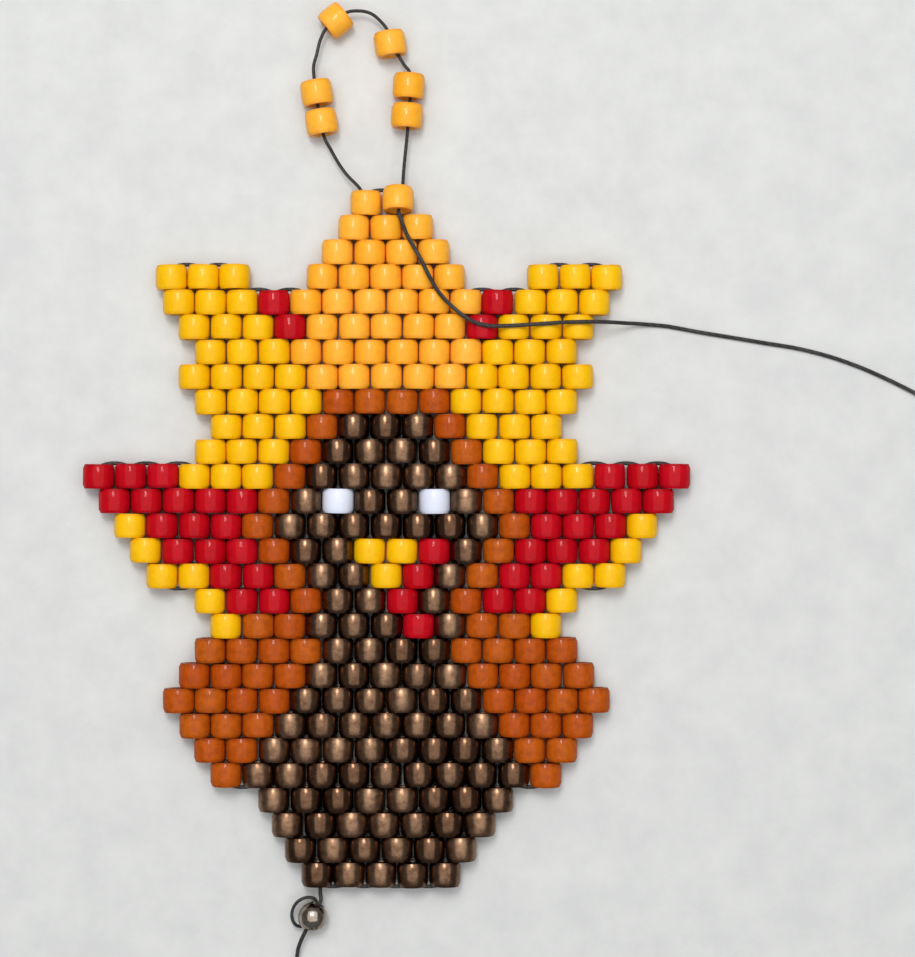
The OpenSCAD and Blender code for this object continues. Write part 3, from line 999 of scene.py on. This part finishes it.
def thread_end(name, route, coil_node, tie_node, thread_node, length, way):
    """A free end of the thread: its route on the bench, then its coil."""
    thread = settings("charm_thread")
    points = smooth_route([(x, FOOT_Y + y, z) for x, y, z in route], ROUTE_SPACING)
    low, high = box_corners(coil_node)
    middle = (low + high) / 2
    thickness = high.z - low.z
    mean_r = (high.x - low.x - thickness) / 2
    places = wound_places(thickness, thread.diameter * COIL_SPACING)
    points += coil_turns(middle, mean_r, places, points[-1], way, length - route_length(points))
    piece = tube(name, points, thread.diameter / 2, thread_material(), sides=8)
    finish_piece(piece, "panel", "thread", thread_node, coil_node)
    tie = coil_tie(f"{tie_node}_band", tie_node)
    return route_length(points)


def coil_tie(name, node):
    """Bands of soft cotton round a coil, one on each of the CAD node's bands."""
    source = bpy.data.meshes.new(name)
    mesh = joined_mesh(node)
    mesh.to_mesh(source)
    mesh.free()
    source.materials.append(tie_material())
    for face in source.polygons:
        face.use_smooth = True
    piece = link(bpy.data.objects.new(name, source))
    return finish_piece(piece, "panel", "tie_band", node)


# ---------------------------------------------------------------- stitching

def stitch_tree():
    """Geometry Nodes: a bridge or a leg of thread on each point, whichever the point asks for."""
    tree, given, result = group_tree(
        "Stitches",
        "GeometryNodeTree",
        [
            ("Places", "NodeSocketGeometry", None),
            ("Span", "NodeSocketFloat", 0.0017),
            ("Depth", "NodeSocketFloat", 0.0003),
            ("Bow", "NodeSocketFloat", 0.0002),
            ("Thread", "NodeSocketFloat", 0.0002),
            ("Leg Length", "NodeSocketFloat", 0.0012),
            ("Finish", "NodeSocketMaterial", None),
        ],
        [("Stitches", "NodeSocketGeometry")],
    )
    put = given.outputs
    half = math_node(tree, "MULTIPLY", put["Span"], 0.5)
    back = math_node(tree, "MULTIPLY", half, -1.0)
    down = math_node(tree, "MULTIPLY", put["Depth"], -1.0)
    corners = []
    for x, y in ((back, down), (back, put["Bow"]), (half, put["Bow"]), (half, down)):
        corner = add_node(tree, "ShaderNodeCombineXYZ")
        wire(tree, (x, corner.inputs["X"]), (y, corner.inputs["Y"]))
        corners.append(corner.outputs[0])
    bow = add_node(tree, "GeometryNodeCurvePrimitiveBezierSegment", {"Resolution": 9})
    section = add_node(tree, "GeometryNodeCurvePrimitiveCircle", {"Resolution": 6})
    bridge = add_node(tree, "GeometryNodeCurveToMesh", {"Fill Caps": True})
    line = add_node(tree, "GeometryNodeCurvePrimitiveLine")
    leg = add_node(tree, "GeometryNodeCurveToMesh", {"Fill Caps": True})
    leg_end = add_node(tree, "ShaderNodeCombineXYZ")
    leg_start = add_node(tree, "ShaderNodeCombineXYZ")
    half_leg = math_node(tree, "MULTIPLY", put["Leg Length"], 0.5)
    radius = math_node(tree, "MULTIPLY", put["Thread"], 0.5)
    wire(
        tree,
        (corners[0], bow.inputs["Start"]),
        (corners[1], bow.inputs["Start Handle"]),
        (corners[2], bow.inputs["End Handle"]),
        (corners[3], bow.inputs["End"]),
        (radius, section.inputs["Radius"]),
        (bow.outputs["Curve"], bridge.inputs["Curve"]),
        (section.outputs["Curve"], bridge.inputs["Profile Curve"]),
        (half_leg, leg_end.inputs["Y"]),
        (math_node(tree, "MULTIPLY", half_leg, -1.0), leg_start.inputs["Y"]),
        (leg_start.outputs[0], line.inputs["Start"]),
        (leg_end.outputs[0], line.inputs["End"]),
        (line.outputs["Curve"], leg.inputs["Curve"]),
        (section.outputs["Curve"], leg.inputs["Profile Curve"]),
    )
    kind = add_node(tree, "GeometryNodeInputNamedAttribute", {"Name": "is_leg"}, data_type="FLOAT")
    turn = add_node(tree, "GeometryNodeInputNamedAttribute", {"Name": "turn"}, data_type="FLOAT_VECTOR")
    press = add_node(tree, "GeometryNodeInputNamedAttribute", {"Name": "press"}, data_type="FLOAT_VECTOR")
    is_leg = math_node(tree, "GREATER_THAN", kind.outputs["Attribute"], 0.5)
    is_bridge = math_node(tree, "LESS_THAN", kind.outputs["Attribute"], 0.5)
    joined = add_node(tree, "GeometryNodeJoinGeometry")
    for chosen, shape in ((is_leg, leg), (is_bridge, bridge)):
        laid = add_node(tree, "GeometryNodeInstanceOnPoints")
        wire(
            tree,
            (put["Places"], laid.inputs["Points"]),
            (chosen, laid.inputs["Selection"]),
            (shape.outputs["Mesh"], laid.inputs["Instance"]),
            (turn.outputs["Attribute"], laid.inputs["Rotation"]),
            (press.outputs["Attribute"], laid.inputs["Scale"]),
            (laid.outputs["Instances"], joined.inputs["Geometry"]),
        )
    real = add_node(tree, "GeometryNodeRealizeInstances")
    finished = add_node(tree, "GeometryNodeSetMaterial")
    wire(
        tree,
        (joined.outputs["Geometry"], real.inputs["Geometry"]),
        (real.outputs["Geometry"], finished.inputs["Geometry"]),
        (put["Finish"], finished.inputs["Material"]),
        (finished.outputs["Geometry"], result.inputs["Stitches"]),
    )
    return tree


def bead_rows():
    """All beads of the panel as rows of places, from the crest down, as if all lay flat."""
    rows = {}
    for node in panel_nodes():
        for place in bead_places(node):
            rows.setdefault(round((place.y - FOOT_Y) / ROW_PITCH), []).append(place)
    for number, row in rows.items():
        for place in row:
            place.y = FOOT_Y + number * ROW_PITCH
            place.z = BEAD_Z
    return [sorted(rows[key], key=lambda p: p.x) for key in sorted(rows, reverse=True)]


def stitch_places():
    """Points for every bridge and leg as (place, turn, press, is_leg)."""
    rows = bead_rows()
    widest = max(range(len(rows)), key=lambda r: len(rows[r]))
    laid = []
    for number, row in enumerate(rows):
        for place in row:
            laid.append((place, (0, 0, 0), (1, 1, 1), 1.0))
        sides = [1] * (number <= widest) + [-1] * (number >= widest)
        for side in sides:
            beyond = number - side
            covers = rows[beyond] if 0 <= beyond < len(rows) else []
            for a, b in zip(row, row[1:]):
                if b.x - a.x > 1.4 * BEAD_PITCH:  # the row has a gap here
                    continue
                middle = (a + b) / 2
                hidden = any(abs(c.x - middle.x) < 0.4 * BEAD_PITCH for c in covers)
                edge = Vector((0, side * BEAD_LENGTH / 2, 0))
                turn = (0, 0, 0 if side > 0 else math.pi)
                press = (1, 0.2, 1.2) if hidden else (1, 1, 1)  # a bead over the bridge flattens it
                laid.append((middle + edge, turn, press, 0.0))
    return laid


# ---------------------------------------------------------------- the operators

class CHARM_OT_stage(bpy.types.Operator):
    """Lay the bench, hang the lights and place the camera"""

    bl_idname = "charm.stage"
    bl_label = "Stage"

    def execute(self, context):
        stage = settings("charm_stage")
        scene = context.scene
        scene.view_settings.view_transform = "Standard"
        scene.view_settings.look = "None"

        aim = Vector((3.8 * MM, FOOT_Y + 21.0 * MM, BEAD_Z))
        lens = bpy.data.cameras.new("Camera")
        lens.lens = stage.lens
        lens.sensor_width = 36.0
        lens.clip_start = 0.005
        camera = link(bpy.data.objects.new("Camera", lens))
        camera.location = aim + Vector((0, 0, stage.lens / lens.sensor_width * stage.frame_height))
        scene.camera = camera

        mesh = bpy.data.meshes.new("Bench")
        side = 1.2
        mesh.from_pydata(
            [(-side, -side, 0), (side, -side, 0), (side, side, 0), (-side, side, 0)], [], [(0, 1, 2, 3)]
        )
        mesh.materials.append(bench_material())
        bench = link(bpy.data.objects.new("Bench", mesh))

        self.hang("Softbox", stage.softbox, (0.33, 0.34), aim + Vector((0, 0.03, 0.2)), aim)
        self.hang("Window", stage.window, (0.05, 0.07), aim + Vector((-0.02, 0.078, 0.2)), aim)

        world = bpy.data.worlds.new("Room")
        world.use_nodes = True
        world.node_tree.nodes["Background"].inputs["Color"].default_value = (0.9, 0.93, 1.0, 1)
        world.node_tree.nodes["Background"].inputs["Strength"].default_value = 0.22
        scene.world = world
        return {"FINISHED"}

    def hang(self, name, power, size, place, aim):
        """A soft rectangular light that faces a point."""
        data = bpy.data.lights.new(name, "AREA")
        data.shape = "RECTANGLE"
        data.size, data.size_y = size
        data.energy = power
        lamp = link(bpy.data.objects.new(name, data))
        lamp.location = place
        lamp.rotation_euler = (aim - place).to_track_quat("-Z", "Y").to_euler()


class CHARM_OT_stopper(bpy.types.Operator):
    """Make the round stopper bead and the turn of thread round it"""

    bl_idname = "charm.stopper"
    bl_label = "Stopper Bead"

    def execute(self, context):
        low, high = box_corners("stopper_bead")
        middle = (low + high) / 2
        radius = (high.z - low.z) / 2
        hole_r = 0.35 * MM
        along = Vector(joint_called("stopper_slide")["axis"]).normalized()
        turn = Matrix.Rotation(math.atan2(-along.x, along.y), 4, "Z") @ Matrix.Rotation(-math.pi / 2, 4, "X")
        mesh = bmesh.new()
        rings, sides = 20, 40
        start = math.asin(hole_r / radius)
        outline = []
        for k in range(rings + 1):
            angle = start + (math.pi - 2 * start) * k / rings
            outline.append((radius * math.sin(angle), radius * math.cos(angle)))
        reach = outline[0][1]
        lip = 0.05 * MM
        outline += [(hole_r - lip, -reach + lip), (hole_r - lip, 0.0), (hole_r - lip, reach - lip)]
        ways = [2 * math.pi * s / sides for s in range(sides)]
        loops = [
            [mesh.verts.new((r * math.cos(way), r * math.sin(way), z)) for way in ways]
            for r, z in outline
        ]
        for a, b in zip(loops, [*loops[1:], loops[0]]):
            for s in range(sides):
                mesh.faces.new((a[s], b[s], b[(s + 1) % sides], a[(s + 1) % sides]))
        bmesh.ops.recalc_face_normals(mesh, faces=mesh.faces)
        mesh.transform(Matrix.Translation(middle) @ turn)
        data = bpy.data.meshes.new("stopper")
        mesh.to_mesh(data)
        mesh.free()
        for face in data.polygons:
            face.use_smooth = True
        data.materials.append(stopper_material())
        bead = link(bpy.data.objects.new("stopper_round_bead", data))
        finish_piece(bead, "stopper", "stopper_metal", "stopper_bead")

        thread_r = TAUT * settings("charm_thread").diameter / 2
        wrap_r = radius + 0.02 * MM + thread_r
        heading = math.atan2(along.y, along.x)
        points = []
        steps = 36
        for k in range(steps + 1):
            share = 2 * k / steps - 1
            angle = heading - math.radians(90 + 80 * share)
            dip = math.radians(-44) * share ** 4  # both ends are tucked under the bead
            out = math.cos(dip) * (1.25 - 0.25 * share ** 2)  # the turn is loose in its middle
            way = Vector((out * math.cos(angle), out * math.sin(angle), math.sin(dip)))
            points.append(middle + wrap_r * way)
        wrap = tube("stopper_turn_of_thread", points, thread_r, thread_material())
        finish_piece(wrap, "stopper", "thread", "stopper_wrap")
        return {"FINISHED"}


class CHARM_OT_thread_ends(bpy.types.Operator):
    """Lay the working thread and the tail, each with its length put away in a tied coil"""

    bl_idname = "charm.thread_ends"
    bl_label = "Thread Ends"

    def execute(self, context):
        working = thread_end(
            "working_thread_line", WORKING_ROUTE, "working_coil", "working_coil_tie", "working_thread",
            WORKING_LENGTH, -1,
        )
        tail = thread_end(
            "tail_line", TAIL_ROUTE, "tail_coil", "tail_coil_tie", "tail_thread", TAIL_LENGTH,
            1,
        )
        print(f"thread ends: working {working:.4f} m, tail {tail:.4f} m")
        return {"FINISHED"}


class CHARM_OT_crest_beads(bpy.types.Operator):
    """String the mango beads of the crest, with the raised bead at its top"""

    bl_idname = "charm.crest_beads"
    bl_label = "Crest Beads"

    raised_tilt: angle_setting("Raised Tilt", "Tilt of the raised bead that the working thread leaves", 12)

    def execute(self, context):
        for node in panel_nodes("crest"):
            string_beads(node, "panel")
        string_beads("raised_bead", "panel", turn=(-self.raised_tilt, 0, 0), steady=True)
        return {"FINISHED"}


class CHARM_OT_feather_beads(bpy.types.Operator):
    """String the yellow and red beads of the feathers"""

    bl_idname = "charm.feather_beads"
    bl_label = "Feather Beads"

    def execute(self, context):
        for node in panel_nodes("feather", "notch"):
            string_beads(node, "panel")
        return {"FINISHED"}


class CHARM_OT_head_beads(bpy.types.Operator):
    """String the beads of the head: its border, face, eyes, beak and wattle"""

    bl_idname = "charm.head_beads"
    bl_label = "Head Beads"

    def execute(self, context):
        for node in panel_nodes("head", "cheek", "eye", "beak", "wattle"):
            string_beads(node, "panel")
        return {"FINISHED"}


class CHARM_OT_body_beads(bpy.types.Operator):
    """String the beads of the wings and the body"""

    bl_idname = "charm.body_beads"
    bl_label = "Body Beads"

    def execute(self, context):
        for node in panel_nodes("wing", "body"):
            string_beads(node, "panel")
        return {"FINISHED"}


class CHARM_OT_stitching(bpy.types.Operator):
    """Run the stitching thread through the beads, with a bridge between each two neighbours"""

    bl_idname = "charm.stitching"
    bl_label = "Stitching"

    def execute(self, context):
        tree = stitch_tree()
        thread = settings("charm_thread")
        laid = stitch_places()
        for node in ("crest_stitching", "wing_stitching", "body_stitching"):
            low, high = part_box(node)
            margin = 0.3 * MM
            mine = [s for s in laid if low[1] - margin < s[0].y < high[1] + margin]
            laid = [s for s in laid if s not in mine]
            mesh = bpy.data.meshes.new(node)
            mesh.from_pydata([tuple(s[0]) for s in mine], [], [])
            for name, column in (("turn", 1), ("press", 2)):
                layer = mesh.attributes.new(name, "FLOAT_VECTOR", "POINT")
                layer.data.foreach_set("vector", [float(v) for s in mine for v in s[column]])
            layer = mesh.attributes.new("is_leg", "FLOAT", "POINT")
            layer.data.foreach_set("value", [s[3] for s in mine])
            maker = link(bpy.data.objects.new(node, mesh))
            modifier = maker.modifiers.new("Stitches", "NODES")
            modifier.node_group = tree
            set_inputs(modifier, {
                "Span": BEAD_PITCH,
                "Thread": thread.diameter,
                "Leg Length": BEAD_LENGTH,
                "Finish": thread_material(),
            })
            piece = plain_mesh(f"{node}_thread", maker)
            finish_piece(piece, "panel", "thread", node)
        return {"FINISHED"}


class CHARM_OT_hanging_loop(bpy.types.Operator):
    """Make the hanging loop: its thread and the loose beads on it"""

    bl_idname = "charm.hanging_loop"
    bl_label = "Hanging Loop"

    def execute(self, context):
        thread = settings("charm_thread")
        route = smooth_route([(x, FOLD_Y + y, z) for x, y, z in LOOP_ROUTE], ROUTE_SPACING)
        thread_r = TAUT * thread.diameter / 2
        piece = tube("loop_line", route, thread_r, thread_material())
        finish_piece(piece, "hanging_loop", "thread", "loop_thread")
        for name, root in (("loop_root_left", LEFT_ROOT), ("loop_root_right", RIGHT_ROOT)):
            line = smooth_route([(x, FOLD_Y + y, z) for x, y, z in root], ROUTE_SPACING)
            end = tube(name, line, thread_r, thread_material())
            finish_piece(end, "panel", "thread")
        for joint in frame["joints"]:
            if joint["parent"] == "hanging_loop":
                along = Vector(joint["axis"])
                turn = (0.0, 0.0, math.atan2(-along.x, along.y))
                string_beads(nodes_of(joint["child"])[0], joint["child"], turn=turn, steady=True)
        return {"FINISHED"}


class CHARM_PT_panel(bpy.types.Panel):
    """The charm's settings and the steps that build it"""

    bl_idname = "CHARM_PT_panel"
    bl_label = "Beaded Turkey Charm"
    bl_space_type = "VIEW_3D"
    bl_region_type = "UI"
    bl_category = "Charm"

    def draw(self, context):
        layout = self.layout
        for step in STEPS:
            layout.operator(step.bl_idname)
        for name in SETTINGS:
            column = layout.column(align=True)
            group = getattr(context.scene, name)
            for prop in group.bl_rna.properties:
                if prop.identifier not in {"rna_type", "name"}:
                    column.prop(group, prop.identifier)


# ---------------------------------------------------------------- registration

SETTINGS = {
    "charm_beads": BeadSettings,
    "charm_glazes": GlazeSettings,
    "charm_thread": ThreadSettings,
    "charm_stage": StageSettings,
}
STEPS = (
    CHARM_OT_stage,
    CHARM_OT_stopper,
    CHARM_OT_thread_ends,
    CHARM_OT_crest_beads,
    CHARM_OT_feather_beads,
    CHARM_OT_head_beads,
    CHARM_OT_body_beads,
    CHARM_OT_stitching,
    CHARM_OT_hanging_loop,
)
CLASSES = (*SETTINGS.values(), *STEPS, CHARM_PT_panel)


def register():
    for cls in CLASSES:
        bpy.utils.register_class(cls)
    for name, group in SETTINGS.items():
        setattr(bpy.types.Scene, name, bpy.props.PointerProperty(type=group))


def unregister():
    for name in SETTINGS:
        delattr(bpy.types.Scene, name)
    for cls in reversed(CLASSES):
        bpy.utils.unregister_class(cls)


def run(step):
    """Runs one step's operator, and stops if it doesn't finish."""
    family, name = step.bl_idname.split(".")
    if getattr(getattr(bpy.ops, family), name)() != {"FINISHED"}:
        raise RuntimeError(f"{step.bl_label} didn't finish")


def main():
    register()
    for step in STEPS:
        run(step)


if __name__ == "__main__":
    main()
